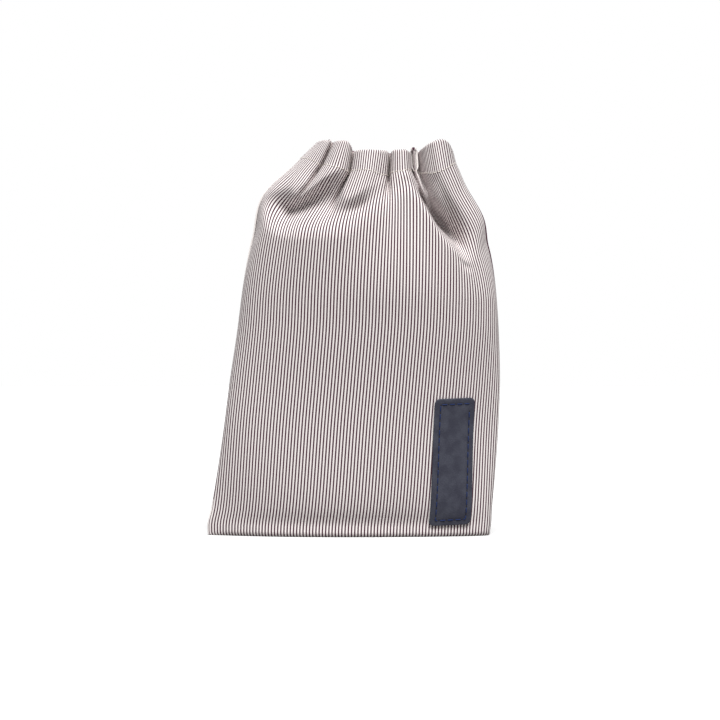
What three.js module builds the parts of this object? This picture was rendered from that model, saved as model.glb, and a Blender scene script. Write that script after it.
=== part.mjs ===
import * as THREE from 'three';

// Gathered-top cloth pouch with a sewn leather patch. Millimetres, Z up, front towards -Y.
// The cloth is two panels, front and back, that meet at the side seams and along the base.

// Cloth
const CLOTH_THICKNESS = 0.8;
const STRIPE_REPEAT = 1.6;
const PANEL_STRIPES = 92.5;
const PANEL_WIDTH = STRIPE_REPEAT * PANEL_STRIPES;
const SEAM_HALF_GAP = 0.15;
const SEAM_TURN = 0.15;

// Casing, the turned-in hem that holds the elastic
const CHANNEL_GAP = 1.4;
const HEM_END_GAP = 0.35;
const FOLD_MID_RADIUS = (CHANNEL_GAP + CLOTH_THICKNESS) / 2;
const FOLD_STEPS = 4;
const CASING_STEPS = 4;
const HEM_SHARES = [0.25, 0.75, 1];
const HEM_CLOSES_FROM = 0.75;

// Elastic ring inside the casing
const ELASTIC_THICKNESS = 0.6;

// Leather patch
const PATCH_WIDTH = 21;
const PATCH_HEIGHT = 63;
const PATCH_THICKNESS = 1.3;
const PATCH_CORNER_RADIUS = 2.6;
const PATCH_GAP = 0.36;
const PATCH_CENTRE_ACROSS = 121.75;
const PATCH_CENTRE_HEIGHT = 37.2;
const PATCH_LEAN = 0.0356;
const PATCH_COLUMNS = 8;
const PATCH_ROWS = 12;
const PATCH_CORNER_STATION = 0.42;
const PATCH_SLOPE_STEP = 1.5;

// Body sections
const BASE_EDGE_RADIUS = 2.6;
const BASE_EDGE_PULL = 1.95;
const BASE_PULL_DEPTH = 6;
const BASE_EDGE_INSET = 2.4;
const BASE_SEAM_INSET = 4;
const BASE_CORNER_SHARE = 0.36;
const BODY_TOP = 115;
const SECTION_SAMPLES = 160;
const SLOPE_STEP = 2;
const BODY_LEVELS = {
  front: [7, 13, 21, 31, 43, 57, 72, 88, 104, BODY_TOP],
  back: [9, 24, 48, 82, BODY_TOP],
};
const NECK_STATIONS = {
  front: [-0.82, -0.56, -0.34, -0.18, -0.06, 0.05, 0.16, 0.28, 0.42, 0.58, 0.78, 1],
  back: [-0.6, -0.26, -0.02, 0.2, 0.44, 0.7, 1],
};

// Height, left edge, right edge, end shape of the section at left and at right (1 sharp, 0.5 round)
const SILHOUETTE = [
  [0, -74.2, 66.6, 1.0, 0.44],
  [6, -74.3, 67.6, 1.0, 0.45],
  [13, -72.6, 68.0, 0.92, 0.5],
  [30, -69.6, 69.5, 0.66, 0.64],
  [54, -66.1, 71.2, 0.5, 0.78],
  [78, -63.0, 72.0, 0.5, 0.7],
  [102, -59.4, 71.4, 0.5, 0.55],
  [120, -57.2, 70.3, 0.5, 0.5],
];

// Front shoulder. Stripe number from the left seam, knee x, y, z, softness, sag in x and in y,
// roll and its place on the neck
const FRONT_KNEE = [
  [0, -52.2, 0, 157.5, 0.5, -5.8, 0, 0, 0.4],
  [4, -50.4, -6.5, 158.6, 0.45, -4.9, 1.0, 0.8, 0.55],
  [8, -46.5, -12, 160.2, 0.3, -3.2, 4.0, 2.0, 0.62],
  [12, -41.6, -17, 158.1, 0.2, -0.8, 6.5, 2.2, 0.74],
  [16, -36.3, -20.5, 155.7, 0.15, -0.2, 8.4, 2.0, 0.86],
  [22, -28.8, -24.5, 154.0, 0.13, 0, 9.4, 0.8, 0.97],
  [28, -19.9, -27, 153.6, 0.13, 0, 9.8, 0, 1],
  [34, -10.9, -28.4, 154.0, 0.14, 0, 9.0, 0, 1],
  [38, -4.3, -28.8, 155.7, 0.18, 0, 7.2, 0, 1],
  [42, 1.8, -28, 159.1, 0.24, 0, 4.8, 0, 1],
  [46, 8.3, -26.8, 162.9, 0.26, 0, 3.2, 0, 1],
  [50, 14.7, -25.2, 165.7, 0.26, 0, 2.4, 0, 1],
  [54, 20.3, -23.6, 168.2, 0.26, 0, 1.8, 0, 1],
  [58, 26.0, -21.2, 172.8, 0.2, 0, 1.0, 0, 1],
  [61, 30.9, -21.0, 167.9, 0.14, 0, 1.6, 0, 1],
  [64, 35.6, -22.0, 160.5, 0.12, 0, 3.0, 0, 1],
  [67, 39.9, -23.0, 152.1, 0.12, 0, 4.2, 0, 1],
  [70, 44.6, -22.6, 145.8, 0.13, 0, 4.6, 0, 1],
  [74, 50.1, -20.0, 140.0, 0.16, 0, 4.2, 0, 1],
  [78, 55.2, -17.0, 134.8, 0.2, 0.4, 3.2, 0, 1],
  [82, 59.8, -13.0, 133.0, 0.26, 1.2, 1.8, 0, 1],
  [86, 63.8, -8.6, 136.6, 0.38, 2.0, 0.8, 0, 1],
  [92.5, 67.0, 0, 144.0, 0.5, 2.6, 0, 0, 1],
];

// Front gathers. Stripe number, then x, y, z on the stitch line, then x, y, z on the rim
const FRONT_GATHERS = [
  [0, -26.8, 0, 189.0, -18.8, 0, 197.2],
  [4, -25.5, -5, 188.4, -17.9, -4.4, 197.2],
  [8, -22.4, -9.8, 187.4, -16.1, -9, 197.2],
  [11, -20.3, -11.8, 185.7, -14.1, -10.9, 196.7],
  [13.5, -18.3, -11.9, 184.2, -12.4, -11.2, 196.4],
  [15.5, -16.8, -9.6, 183.7, -11.3, -9.0, 195.9],
  [17.5, -15.3, -13, 184.4, -10.2, -12, 196.4],
  [21, -12.3, -17, 183.5, -7.6, -14.8, 196.3],
  [25, -7.3, -18, 181.9, -3.9, -15, 195.8],
  [28, -4.2, -15, 180.5, -2.0, -12.5, 194.0],
  [30.5, -3.0, -9, 179.7, -1.2, -8.5, 191.7],
  [33, -1.9, -15, 181.0, -0.2, -12.5, 191.6],
  [36.5, 2.0, -20, 181.0, 3.2, -17, 191.6],
  [41, 7.1, -21, 180.7, 8.4, -17.8, 191.5],
  [45, 11.3, -18.5, 179.2, 13.1, -15.8, 191.2],
  [48, 14.9, -13.4, 178.6, 16.0, -12, 190.9],
  [50.5, 16.3, -7.2, 178.9, 17.0, -7.2, 190.3],
  [53, 17.6, -13.4, 180.1, 17.9, -12.2, 191.6],
  [56.5, 21.7, -17.4, 180.6, 21.5, -15, 191.8],
  [60, 25.9, -15, 181.5, 25.2, -13, 192.0],
  [63, 28.1, -11, 181.6, 27.4, -10, 191.8],
  [69, 30.6, -4.4, 180.9, 29.4, -4.4, 191.3],
  [75, 33.7, -9.6, 180.4, 32.0, -9, 192.1],
  [79, 37.0, -15.2, 179.7, 34.4, -13, 193.7],
  [83, 41.1, -17, 180.3, 38.3, -14.8, 195.8],
  [87, 45.2, -13, 182.6, 42.7, -11.2, 197.3],
  [90, 48.2, -7.2, 184.9, 46.1, -6.2, 196.4],
  [92.5, 50.0, 0, 186.2, 48.2, 0, 193.5],
];

const SAG_FROM = -0.2;
const SAG_FULL = 0.32;
const ROLL_SPREAD = 0.15;
const ROLL_WAY = new THREE.Vector3(0, -1, -0.5);

// Small hollows of the front. Stripe, place on the neck, spreads, depth
const DIMPLES = [
  [39.5, 0.4, 3.0, 0.16, 3.0],
  [77.5, -0.12, 2.6, 0.09, 1.6],
];

// Back shoulder and gathers, plain and even
const BACK_KNEE_HEIGHT = 148.5;
const BACK_KNEE_DEPTH = 28.6;
const BACK_KNEE_SOFTNESS = 0.34;
const BACK_SAG = 2.4;
const BACK_LOBES = 6;
const BACK_LOBE_DEPTH = 5.6;
const BACK_RIM_DEPTH = 13.5;
const BACK_RIM_HEIGHT = 191.5;
const BACK_STITCH_HEIGHT = 179.5;

const FRONT_COLUMNS = 58;
const BACK_COLUMNS = 36;
const BASE_ROWS = 3;

const clamp = THREE.MathUtils.clamp;
const lerp = THREE.MathUtils.lerp;
const smoothstep = THREE.MathUtils.smoothstep;

// Row of a table at a value of its first column, by cubic interpolation
function readTable(table, value) {
  const last = table.length - 1;
  let k = 0;
  while (k < last - 1 && value > table[k + 1][0]) k += 1;
  const before = table[Math.max(k - 1, 0)];
  const low = table[k];
  const high = table[k + 1];
  const after = table[Math.min(k + 2, last)];
  const span = high[0] - low[0];
  const t = clamp((value - low[0]) / span, 0, 1);
  const t2 = t * t;
  const t3 = t2 * t;
  return low.map((start, column) => {
    const end = high[column];
    const slopeLow = (end - before[column]) / (high[0] - before[0]) * span;
    const slopeHigh = (after[column] - start) / (after[0] - low[0]) * span;
    return (2 * t3 - 3 * t2 + 1) * start + (t3 - 2 * t2 + t) * slopeLow
      + (3 * t2 - 2 * t3) * end + (t3 - t2) * slopeHigh;
  });
}

// Half of the body's section as a polyline of a given bulge
function sectionLine(row, bulge) {
  const [, left, right, endLeft, endRight] = row;
  const points = [];
  for (let k = 0; k <= SECTION_SAMPLES; k += 1) {
    const across = -Math.cos(Math.PI * k / SECTION_SAMPLES);
    const power = lerp(endLeft, endRight, (across + 1) / 2);
    const depth = bulge * Math.max(1 - across * across, 0) ** power;
    points.push(new THREE.Vector2(lerp(left, right, (across + 1) / 2), depth));
  }
  return points;
}

function lineLength(points) {
  let total = 0;
  for (let k = 1; k < points.length; k += 1) total += points[k].distanceTo(points[k - 1]);
  return total;
}

// Body section at a height, with the bulge that uses up the panel's whole width of cloth
const sectionCache = new Map();
function bodySection(height) {
  const key = height.toFixed(3);
  if (sectionCache.has(key)) return sectionCache.get(key);
  const row = readTable(SILHOUETTE, height);
  let low = 2;
  let high = 60;
  for (let step = 0; step < 30; step += 1) {
    const middle = (low + high) / 2;
    if (lineLength(sectionLine(row, middle)) < PANEL_WIDTH) low = middle;
    else high = middle;
  }
  const points = sectionLine(row, (low + high) / 2);
  sectionCache.set(key, points);
  return points;
}

// Point of the body at a distance across the cloth from the left seam; side is -1 front, 1 back
function bodyPoint(side, across, height) {
  const points = bodySection(height);
  let left = clamp(across, 0, PANEL_WIDTH) / PANEL_WIDTH * lineLength(points);
  let k = 1;
  while (k < points.length - 1 && left > points[k].distanceTo(points[k - 1])) {
    left -= points[k].distanceTo(points[k - 1]);
    k += 1;
  }
  const share = clamp(left / points[k].distanceTo(points[k - 1]), 0, 1);
  const flat = points[k - 1].clone().lerp(points[k], share);
  return new THREE.Vector3(flat.x, side * Math.max(flat.y, SEAM_HALF_GAP), height);
}

// Keep a point on its own panel's side of the seam plane
function keepSide(point, side) {
  point.y = side * Math.max(side * point.y, SEAM_HALF_GAP);
  return point;
}

// Bell curve, 1 at 0
function bell(value) {
  return Math.exp(-value * value);
}

// Rounded ramp from 0 at -1 to 1 at 1
function softRamp(t, softness) {
  return (t + Math.sqrt(t * t + softness * softness) + 1 - Math.sqrt(1 + softness * softness)) / 2;
}

// Knee, sag, stitch line and rim of one column of the front panel
function frontColumn(stripe) {
  const knee = readTable(FRONT_KNEE, stripe);
  const gather = readTable(FRONT_GATHERS, stripe);
  return {
    knee: new THREE.Vector3(knee[1], Math.min(knee[2], -SEAM_HALF_GAP), knee[3]),
    softness: knee[4],
    sag: new THREE.Vector3(knee[5], knee[6], 0),
    roll: knee[7],
    rollAt: knee[8],
    stitch: new THREE.Vector3(gather[1], Math.min(gather[2], -SEAM_HALF_GAP), gather[3]),
    rim: new THREE.Vector3(gather[4], Math.min(gather[5], -SEAM_HALF_GAP), gather[6]),
  };
}

// The same for the back panel, which shares the side seams with the front
function backColumn(stripe) {
  const share = stripe / PANEL_STRIPES;
  const seams = [frontColumn(0), frontColumn(PANEL_STRIPES)];
  const seamWeight = smoothstep(Math.abs(share - 0.5), 0.36, 0.5);
  const arch = Math.sqrt(Math.max(1 - (2 * share - 1) ** 2, 0));
  const lobe = share * BACK_LOBES;
  const turn = (lobe - Math.floor(lobe)) * Math.PI;
  const lobeX = (0.5 - Math.cos(turn) / 2 - turn / Math.PI) / BACK_LOBES;
  const lobeDepth = BACK_LOBE_DEPTH * Math.sin(turn) * smoothstep(arch, 0, 0.5);
  const nearSeam = (name, axis) => lerp(seams[0][name][axis], seams[1][name][axis], share + lobeX);
  const place = (name, depth, height) => new THREE.Vector3(
    nearSeam(name, 'x'),
    Math.max(depth * arch ** 0.8, SEAM_HALF_GAP),
    lerp(height, nearSeam(name, 'z'), seamWeight),
  );
  const top = bodyPoint(1, stripe * STRIPE_REPEAT, BODY_TOP);
  const [, edgeLeft, edgeRight] = readTable(SILHOUETTE, BODY_TOP);
  const kneeShare = (top.x - edgeLeft) / (edgeRight - edgeLeft);
  const nearest = share < 0.5 ? seams[0] : seams[1];
  return {
    knee: new THREE.Vector3(
      lerp(seams[0].knee.x, seams[1].knee.x, kneeShare),
      Math.max(BACK_KNEE_DEPTH * arch ** 0.9, SEAM_HALF_GAP),
      lerp(BACK_KNEE_HEIGHT, nearest.knee.z, seamWeight),
    ),
    softness: BACK_KNEE_SOFTNESS,
    roll: 0,
    rollAt: 0,
    sag: new THREE.Vector3(nearest.sag.x * seamWeight, -BACK_SAG * arch, 0),
    stitch: place('stitch', BACK_RIM_DEPTH + lobeDepth, BACK_STITCH_HEIGHT),
    rim: place('rim', BACK_RIM_DEPTH - 1 + lobeDepth * 0.9, BACK_RIM_HEIGHT),
  };
}

// From the base seam outwards and round the base edge to the foot of the wall
function basePoints(side, across) {
  const foot = bodyPoint(side, across, BASE_EDGE_RADIUS);
  const centre = bodyPoint(side, PANEL_WIDTH / 2, 0).x;
  const pull = BASE_EDGE_PULL * smoothstep(Math.abs(foot.y), 0, BASE_PULL_DEPTH);
  const footIn = new THREE.Vector3(
    lerp(foot.x, centre, BASE_EDGE_INSET / PANEL_WIDTH),
    side * Math.max(Math.abs(foot.y) - pull, SEAM_HALF_GAP),
    0,
  );
  const seam = new THREE.Vector3(
    lerp(foot.x, centre, BASE_SEAM_INSET / PANEL_WIDTH),
    side * SEAM_HALF_GAP,
    0,
  );
  const corner = new THREE.Vector3(foot.x, foot.y, 0);
  const middle = footIn.clone().add(foot).multiplyScalar((1 - BASE_CORNER_SHARE) / 2);
  middle.addScaledVector(corner, BASE_CORNER_SHARE);
  return [seam, seam.clone().lerp(footIn, 0.5), footIn, middle, foot];
}

// What the neck's slope lacks at the top of the body, so that the two meet without a crease
function neckTurn(column, top, below) {
  const reach = Math.hypot(1, column.softness);
  const slope = column.knee.clone().sub(top).multiplyScalar((1 + 1 / reach) / 2);
  slope.addScaledVector(column.stitch.clone().sub(column.knee), (1 - 1 / reach) / 2);
  const rise = top.clone().sub(below);
  return rise.multiplyScalar(slope.z / rise.z).sub(slope);
}

// Point of the neck; t runs from -1 at the top of the body past 0 at the knee to 1 at the stitch line
function neckPoint(side, stripe, column, top, turn, t) {
  const point = column.knee.clone();
  point.addScaledVector(top.clone().sub(column.knee), softRamp(-t, column.softness));
  point.addScaledVector(column.stitch.clone().sub(column.knee), softRamp(t, column.softness));
  point.addScaledVector(turn, (1 + t) * Math.min(t, 0) ** 2);
  const sagShare = smoothstep(t, SAG_FROM, SAG_FULL) * (1 - smoothstep(t, SAG_FULL, 1));
  point.addScaledVector(column.sag, sagShare);
  point.addScaledVector(ROLL_WAY, column.roll * bell((t - column.rollAt) / ROLL_SPREAD));
  if (side < 0) {
    for (const [at, place, stripeSpread, spread, depth] of DIMPLES) {
      point.y += depth * bell(Math.hypot((stripe - at) / stripeSpread, (t - place) / spread));
    }
  }
  return keepSide(point, side);
}

// Outer face of the wall, from the base seam up to the stitch line and on to the rim
function wallPath(side, stripe) {
  const across = stripe * STRIPE_REPEAT;
  const panel = side < 0 ? 'front' : 'back';
  const column = side < 0 ? frontColumn(stripe) : backColumn(stripe);
  const points = basePoints(side, across);
  for (const level of BODY_LEVELS[panel]) points.push(bodyPoint(side, across, level));
  const top = points[points.length - 1];
  const turn = neckTurn(column, top, bodyPoint(side, across, BODY_TOP - SLOPE_STEP));
  for (const t of NECK_STATIONS[panel]) {
    points.push(neckPoint(side, stripe, column, top, turn, t));
  }
  const fold = column.rim.clone().sub(column.stitch);
  fold.setLength(fold.length() - FOLD_MID_RADIUS - CLOTH_THICKNESS / 2);
  for (let k = 1; k <= CASING_STEPS; k += 1) {
    points.push(column.stitch.clone().addScaledVector(fold, k / CASING_STEPS));
  }
  return points;
}

// Inward normals of a grid of points, averaged along the rows and columns next to each point
function inwardNormals(grid, side) {
  const columns = grid.length;
  const rows = grid[0].length;
  const normals = grid.map((line, i) => line.map((point, k) => {
    const along = grid[Math.min(i + 1, columns - 1)][k].clone().sub(grid[Math.max(i - 1, 0)][k]);
    const up = line[Math.min(k + 1, rows - 1)].clone().sub(line[Math.max(k - 1, 0)]);
    return along.cross(up).multiplyScalar(side).normalize();
  }));
  return normals.map((line, i) => line.map((normal, k) => {
    const sum = normal.clone().multiplyScalar(2);
    sum.add(normals[Math.min(i + 1, columns - 1)][k]);
    sum.add(normals[Math.max(i - 1, 0)][k]);
    if (i === 0 || i === columns - 1) sum.y *= SEAM_TURN;
    if (k < BASE_ROWS) sum.set(0, 0, 1);
    if (k === BASE_ROWS) sum.copy(normals[i][k + 1]).setZ(1);
    return sum.normalize();
  }));
}

// Inward directions along the rim, each averaged with those next to it
function rimInward(normals) {
  const rim = normals.map((line) => line[line.length - 1]);
  return rim.map((normal, i) => {
    const sum = normal.clone();
    sum.add(rim[Math.max(i - 1, 0)]);
    sum.add(rim[Math.min(i + 1, rim.length - 1)]);
    return sum.normalize();
  });
}

// The wall's two faces, then the rim fold and the hem's two faces, all as rows of one grid
function panelFaces(side, stripes) {
  const wall = stripes.map((stripe) => wallPath(side, stripe));
  const normals = inwardNormals(wall, side);
  const rimNormals = rimInward(normals);
  const stitchRow = wall[0].length - 1 - CASING_STEPS;
  const outer = [];
  const inner = [];
  wall.forEach((line, i) => {
    const outerLine = line.map((point) => point.clone());
    const innerLine = line.map((point, k) => (
      point.clone().addScaledVector(normals[i][k], CLOTH_THICKNESS)
    ));
    const top = line[line.length - 1];
    const up = top.clone().sub(line[stitchRow]).normalize();
    const inward = rimNormals[i].clone();
    inward.addScaledVector(up, -inward.dot(up)).normalize();
    const centre = top.clone().addScaledVector(inward, CLOTH_THICKNESS / 2 + FOLD_MID_RADIUS);
    for (let k = 1; k <= FOLD_STEPS; k += 1) {
      const angle = Math.PI * k / FOLD_STEPS;
      const arm = inward.clone().multiplyScalar(-Math.cos(angle)).addScaledVector(up, Math.sin(angle));
      outerLine.push(centre.clone().addScaledVector(arm, FOLD_MID_RADIUS + CLOTH_THICKNESS / 2));
      innerLine.push(centre.clone().addScaledVector(arm, FOLD_MID_RADIUS - CLOTH_THICKNESS / 2));
    }
    const hemBack = 2 * FOLD_MID_RADIUS - CLOTH_THICKNESS;
    for (const share of HEM_SHARES) {
      const base = top.clone().lerp(line[stitchRow], share);
      const closing = (hemBack - HEM_END_GAP) * smoothstep(share, HEM_CLOSES_FROM, 1);
      const near = CLOTH_THICKNESS + hemBack - closing;
      innerLine.push(base.clone().addScaledVector(inward, near));
      outerLine.push(base.clone().addScaledVector(inward, near + CLOTH_THICKNESS));
    }
    outer.push(outerLine.map((point) => keepSide(point, side)));
    inner.push(innerLine.map((point) => keepSide(point, side)));
  });
  return { outer, inner, stitchRow };
}

// Closed mesh of a sheet given by two grids of points, side by side
function sheetGeometry(outer, inner, flip) {
  const columns = outer.length;
  const rows = outer[0].length;
  const positions = [];
  for (const grid of [outer, inner]) {
    for (const line of grid) {
      for (const point of line) positions.push(point.x, point.y, point.z);
    }
  }
  const index = (face, i, k) => (face * columns + i) * rows + k;
  const triangles = [];
  const quad = (a, b, c, d) => {
    if (flip) triangles.push(a, c, b, a, d, c);
    else triangles.push(a, b, c, a, c, d);
  };
  for (let i = 0; i < columns - 1; i += 1) {
    for (let k = 0; k < rows - 1; k += 1) {
      quad(index(0, i, k), index(0, i + 1, k), index(0, i + 1, k + 1), index(0, i, k + 1));
      quad(index(1, i, k), index(1, i, k + 1), index(1, i + 1, k + 1), index(1, i + 1, k));
    }
    quad(index(0, i, 0), index(1, i, 0), index(1, i + 1, 0), index(0, i + 1, 0));
    const end = rows - 1;
    quad(index(0, i, end), index(0, i + 1, end), index(1, i + 1, end), index(1, i, end));
  }
  for (let k = 0; k < rows - 1; k += 1) {
    const end = columns - 1;
    quad(index(0, 0, k), index(0, 0, k + 1), index(1, 0, k + 1), index(1, 0, k));
    quad(index(0, end, k), index(1, end, k), index(1, end, k + 1), index(0, end, k + 1));
  }
  const geometry = new THREE.BufferGeometry();
  geometry.setAttribute('position', new THREE.Float32BufferAttribute(positions, 3));
  geometry.setIndex(triangles);
  geometry.computeVertexNormals();
  return geometry;
}

// Column positions across a panel, in stripes
function evenStripes(count) {
  return Array.from({ length: count + 1 }, (unused, k) => PANEL_STRIPES * k / count);
}

// Corners of the elastic's section in each column of one panel, between the wall and the hem
function elasticPart(faces) {
  const { inner, stitchRow } = faces;
  const topRow = stitchRow + CASING_STEPS;
  const wallShare = (1 - ELASTIC_THICKNESS / CHANNEL_GAP) / 2;
  return inner.map((line) => {
    const wallLow = line[stitchRow + 1];
    const wallHigh = line[topRow];
    const hemLow = line[topRow + FOLD_STEPS + HEM_SHARES.length - 1];
    const hemHigh = line[topRow + FOLD_STEPS];
    return [
      wallLow.clone().lerp(hemLow, wallShare),
      wallHigh.clone().lerp(hemHigh, wallShare),
      wallHigh.clone().lerp(hemHigh, 1 - wallShare),
      wallLow.clone().lerp(hemLow, 1 - wallShare),
    ];
  });
}

// Closed band from a ring of four-cornered sections
function ringGeometry(sections) {
  const positions = [];
  for (const section of sections) {
    for (const point of section) positions.push(point.x, point.y, point.z);
  }
  const count = sections.length;
  const corners = sections[0].length;
  const triangles = [];
  for (let i = 0; i < count; i += 1) {
    const next = (i + 1) % count;
    for (let k = 0; k < corners; k += 1) {
      const a = i * corners + k;
      const b = next * corners + k;
      const c = next * corners + (k + 1) % corners;
      const d = i * corners + (k + 1) % corners;
      triangles.push(a, b, c, a, c, d);
    }
  }
  const geometry = new THREE.BufferGeometry();
  geometry.setAttribute('position', new THREE.Float32BufferAttribute(positions, 3));
  geometry.setIndex(triangles);
  geometry.computeVertexNormals();
  return geometry;
}

// Point of the patch's rounded outline or inside it, from a point of a square from -1 to 1
function roundedRectanglePoint(u, v) {
  const halfWidth = PATCH_WIDTH / 2;
  const halfHeight = PATCH_HEIGHT / 2;
  const x = u * halfWidth;
  const y = v * halfHeight;
  const cornerX = Math.max(Math.abs(x) - (halfWidth - PATCH_CORNER_RADIUS), 0) / PATCH_CORNER_RADIUS;
  const cornerY = Math.max(Math.abs(y) - (halfHeight - PATCH_CORNER_RADIUS), 0) / PATCH_CORNER_RADIUS;
  const outline = Math.max(cornerX, cornerY);
  const reach = Math.hypot(cornerX, cornerY);
  const shrink = reach > 0 && cornerX > 0 && cornerY > 0 ? outline / reach : 1;
  const pulled = (value, corner, half) => (corner > 0
    ? Math.sign(value) * (half - PATCH_CORNER_RADIUS + corner * shrink * PATCH_CORNER_RADIUS)
    : value);
  return [pulled(x, cornerX, halfWidth), pulled(y, cornerY, halfHeight)];
}

// Stations across a patch side, with the corner radius resolved
function patchStations(half, steps) {
  const flat = 1 - PATCH_CORNER_RADIUS / half;
  const middle = 1 - PATCH_CORNER_RADIUS / half * PATCH_CORNER_STATION;
  const inside = Array.from({ length: steps + 1 }, (unused, k) => lerp(-flat, flat, k / steps));
  return [-1, -middle, ...inside, middle, 1];
}

// Point of the front wall under a point of the patch, and the wall's outward normal there
function patchSeat(x, y) {
  const across = PATCH_CENTRE_ACROSS + x * Math.cos(PATCH_LEAN) - y * Math.sin(PATCH_LEAN);
  const height = PATCH_CENTRE_HEIGHT + x * Math.sin(PATCH_LEAN) + y * Math.cos(PATCH_LEAN);
  const step = PATCH_SLOPE_STEP;
  const seat = bodyPoint(-1, across, height);
  const right = bodyPoint(-1, across + step, height).sub(bodyPoint(-1, across - step, height));
  const up = bodyPoint(-1, across, height + step).sub(bodyPoint(-1, across, height - step));
  return { seat, normal: right.cross(up).normalize() };
}

function patchGeometry() {
  const under = [];
  const face = [];
  for (const u of patchStations(PATCH_WIDTH / 2, PATCH_COLUMNS)) {
    const underLine = [];
    const faceLine = [];
    for (const v of patchStations(PATCH_HEIGHT / 2, PATCH_ROWS)) {
      const [x, y] = roundedRectanglePoint(u, v);
      const { seat, normal } = patchSeat(x, y);
      underLine.push(seat.clone().addScaledVector(normal, PATCH_GAP));
      faceLine.push(seat.clone().addScaledVector(normal, PATCH_GAP + PATCH_THICKNESS));
    }
    under.push(underLine);
    face.push(faceLine);
  }
  return sheetGeometry(face, under, false);
}

function addPart(group, name, geometry, material) {
  const mesh = new THREE.Mesh(geometry, material);
  mesh.name = name;
  group.add(mesh);
}

const cloth = new THREE.MeshStandardMaterial({ color: 0xbcb3b3, roughness: 0.9, metalness: 0 });
const leather = new THREE.MeshStandardMaterial({ color: 0x42424e, roughness: 0.55, metalness: 0 });
const rubber = new THREE.MeshStandardMaterial({ color: 0xe6e2dc, roughness: 0.8, metalness: 0 });

const part = new THREE.Group();
const front = panelFaces(-1, evenStripes(FRONT_COLUMNS));
const back = panelFaces(1, evenStripes(BACK_COLUMNS));
addPart(part, 'front_panel', sheetGeometry(front.outer, front.inner, false), cloth);
addPart(part, 'back_panel', sheetGeometry(back.outer, back.inner, true), cloth);
const ring = [...elasticPart(front), ...elasticPart(back).reverse()];
addPart(part, 'gathering_elastic', ringGeometry(ring), rubber);
addPart(part, 'leather_patch', patchGeometry(), leather);

// The part's frame is the middle of its outer box, on the plane that it stands on
const box = new THREE.Box3().setFromObject(part);
part.position.set(-(box.min.x + box.max.x) / 2, -(box.min.y + box.max.y) / 2, -box.min.z);

export default part;
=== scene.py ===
import math

import bpy
import numpy as np
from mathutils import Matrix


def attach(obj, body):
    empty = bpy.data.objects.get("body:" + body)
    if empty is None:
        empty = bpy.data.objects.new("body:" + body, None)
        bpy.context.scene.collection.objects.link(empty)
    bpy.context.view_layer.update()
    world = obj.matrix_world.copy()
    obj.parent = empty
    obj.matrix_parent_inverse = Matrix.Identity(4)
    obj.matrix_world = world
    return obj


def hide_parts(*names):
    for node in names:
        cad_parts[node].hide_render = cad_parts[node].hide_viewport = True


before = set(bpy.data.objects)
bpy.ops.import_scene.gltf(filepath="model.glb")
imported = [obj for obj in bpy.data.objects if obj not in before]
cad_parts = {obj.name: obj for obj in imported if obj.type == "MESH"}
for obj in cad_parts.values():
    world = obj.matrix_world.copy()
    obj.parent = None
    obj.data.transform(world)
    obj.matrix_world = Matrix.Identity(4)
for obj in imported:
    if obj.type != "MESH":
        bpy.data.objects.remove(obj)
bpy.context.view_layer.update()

# Millimetres in the shape functions, metres in the scene
MM = 0.001
CLOTH_THICKNESS = 0.8
STRIPE_REPEAT = 1.6
PANEL_STRIPES = 92.5
PANEL_WIDTH = STRIPE_REPEAT * PANEL_STRIPES
SEAM_HALF_GAP = 0.05
CHANNEL_GAP = 1.4
HEM_END_GAP = 0.2
FOLD_MID_RADIUS = (CHANNEL_GAP + CLOTH_THICKNESS) / 2
FOLD_OUTER_RADIUS = FOLD_MID_RADIUS + CLOTH_THICKNESS / 2
BASE_EDGE_RADIUS = 2.6
BASE_FOOT_TUCK = 2.4
BASE_SEAM_TUCK = 4.0
BASE_PULL_REACH = 6.0
BODY_TOP = 115.0

# Where the shape's own origin is in the part's frame
SHIFT_X = 1.17
SHIFT_Y = 0.36

FRONT_COLUMNS = 320
BACK_COLUMNS = 260
SECTION_STEPS = 240
BODY_ROWS = 44
NECK_ROWS = 58
CASING_ROWS = 18
FOLD_ROWS = 8
HEM_ROWS = 14

# Height, left edge, right edge, end shape of the section at left and at right
SILHOUETTE = np.array([
    [0, -74.2, 66.6, 1.0, 0.44],
    [6, -74.3, 67.6, 1.0, 0.45],
    [13, -72.6, 68.0, 0.92, 0.5],
    [30, -69.6, 69.5, 0.66, 0.64],
    [54, -66.1, 71.2, 0.5, 0.78],
    [78, -63.0, 72.0, 0.5, 0.7],
    [102, -59.4, 71.4, 0.5, 0.55],
    [120, -57.2, 70.3, 0.5, 0.5],
])

# How the photograph sees the pouch: its middle point, the size of one point at depth 0, and the
# place of the eye
PICTURE_MIDDLE = 360
PICTURE_POINT = 0.5
EYE_ACROSS = 2.0
EYE_DISTANCE = 1100.0
EYE_HEIGHT = 87.5


def seen_at(across, down, depth):
    """Place of what is seen at a point of the photograph, for a given depth."""
    size = PICTURE_POINT * (EYE_DISTANCE + depth) / EYE_DISTANCE
    x = EYE_ACROSS + (across - PICTURE_MIDDLE) * size
    z = EYE_HEIGHT + (PICTURE_MIDDLE - down) * size
    return [round(x, 1), depth, round(z, 1)]
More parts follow.
